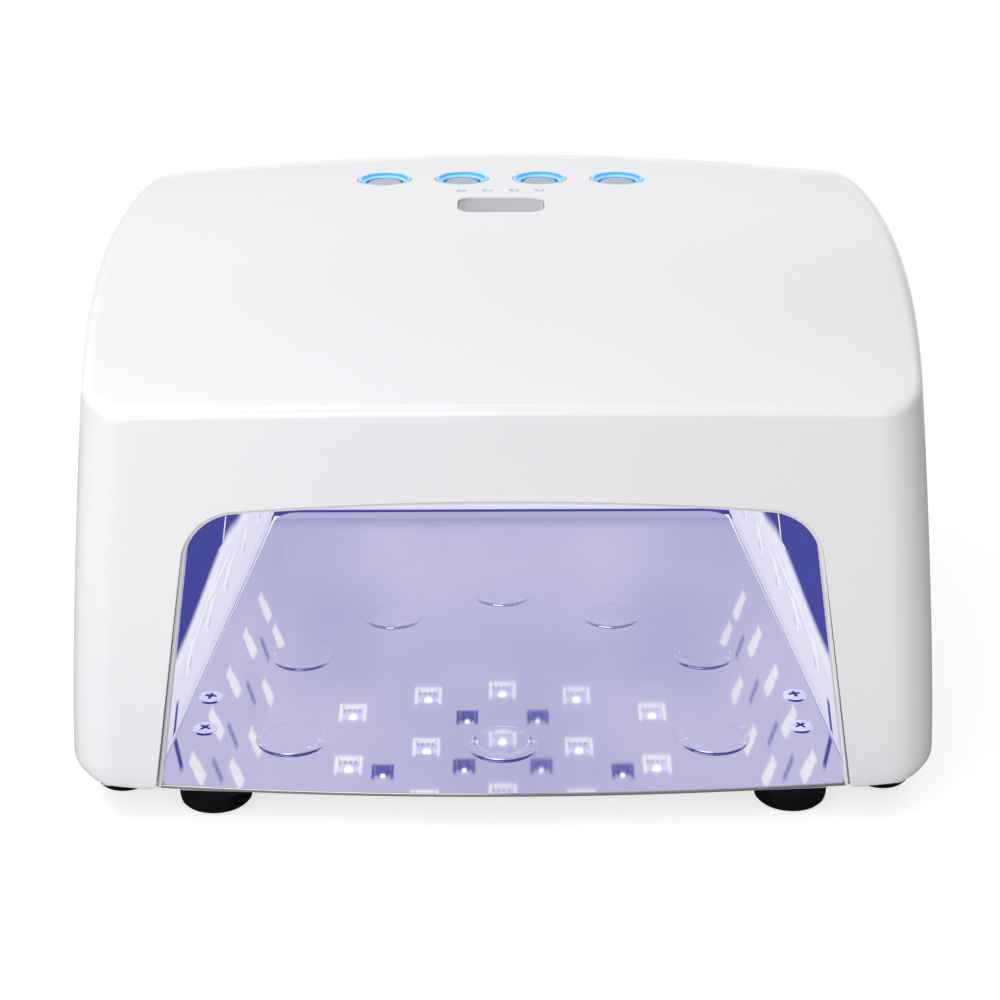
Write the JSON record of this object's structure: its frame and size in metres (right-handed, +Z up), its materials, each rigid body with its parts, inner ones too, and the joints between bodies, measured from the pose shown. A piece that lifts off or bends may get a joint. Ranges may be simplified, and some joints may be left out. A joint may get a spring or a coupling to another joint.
{
  "type": "cordless nail lamp",
  "caption": "Cordless nail curing lamp: a white arched housing over a mirror-lined hand chamber, with a pull-out mirror tray, round lit push buttons and a display window on top.",
  "frame": {"origin": "middle of the footprint, on the table, at the underside of the rubber feet", "axes": "+X to the right of a person facing the opening, +Y from the opening to the back, +Z up"},
  "size_m": [0.24, 0.2178, 0.1454],
  "materials": {
    "housing": "gloss white moulded plastic",
    "trim": "satin warm grey moulded plastic",
    "frame_plastic": "matt off-white moulded plastic",
    "mirror": "polished, reflecting violet light",
    "rubber": "matt black",
    "steel": "zinc plated",
    "board": "green solder mask",
    "lamp": "clear lens over a violet light, lit",
    "cup": "white, lit by its lamp",
    "dim_cup": "blue-violet, little lit",
    "led_board": "white solder mask in violet light",
    "heat_sink": "extruded, plain",
    "holder": "matt black",
    "cell": "shrink sleeve",
    "black_plastic": "matt black",
    "window": "smoked translucent plastic",
    "blue_light": "translucent blue, lit from behind",
    "cap": "satin silver-grey",
    "display": "dark display glass"
  },
  "bodies": {
    "housing": {"upper_shell": "housing", "opening_trim": "trim", "base_frame": "frame_plastic", "housing_feet": "rubber", "housing_screws": "steel", "ceiling_reflector": "mirror", "left_reflector": "mirror", "right_reflector": "mirror", "back_reflector": "mirror", "ceiling_frame": "frame_plastic", "frame_screws": "steel", "ceiling_board": "led_board", "ceiling_lamps": "lamp", "bright_cups": "cup", "dim_cups": "dim_cup", "left_board": "led_board", "left_lamps": "lamp", "right_board": "led_board", "right_lamps": "lamp", "heat_sink": "heat_sink", "battery_holder": "holder", "battery_cells": "cell", "control_board": "board", "panel_screws": "steel", "tact_switches": "black_plastic", "panel_lights": "blue_light", "display_module": "display", "display_window": "window", "indicator_lenses": "blue_light", "button_rings": "blue_light", "charge_board": "board", "power_socket": "black_plastic", "socket_pin": "steel", "dock_magnets": "steel"},
    "tray": {"tray_plate": "mirror", "tray_base": "frame_plastic", "tray_screws": "steel", "tray_feet": "rubber", "tray_keepers": "steel"},
    "button_1": {"button_cap_1": "cap"},
    "button_2": {"button_cap_2": "cap"},
    "button_3": {"button_cap_3": "cap"},
    "button_4": {"button_cap_4": "cap"}
  },
  "joints": [
    {"name": "tray_slide", "type": "slide", "parent": "housing", "child": "tray", "axis": [0, -1, 0], "range_m": [0, 0.19]},
    {"name": "button_1_press", "type": "slide", "parent": "housing", "child": "button_1", "axis": [0, 0, -1], "range_m": [0, 0.0006], "stiffness_N_per_m": 1500, "springref_m": -0.0006},
    {"name": "button_2_press", "type": "slide", "parent": "housing", "child": "button_2", "axis": [0, 0, -1], "range_m": [0, 0.0006], "stiffness_N_per_m": 1500, "springref_m": -0.0006},
    {"name": "button_3_press", "type": "slide", "parent": "housing", "child": "button_3", "axis": [0, 0, -1], "range_m": [0, 0.0006], "stiffness_N_per_m": 1500, "springref_m": -0.0006},
    {"name": "button_4_press", "type": "slide", "parent": "housing", "child": "button_4", "axis": [0, 0, -1], "range_m": [0, 0.0006], "stiffness_N_per_m": 1500, "springref_m": -0.0006}
  ]
}
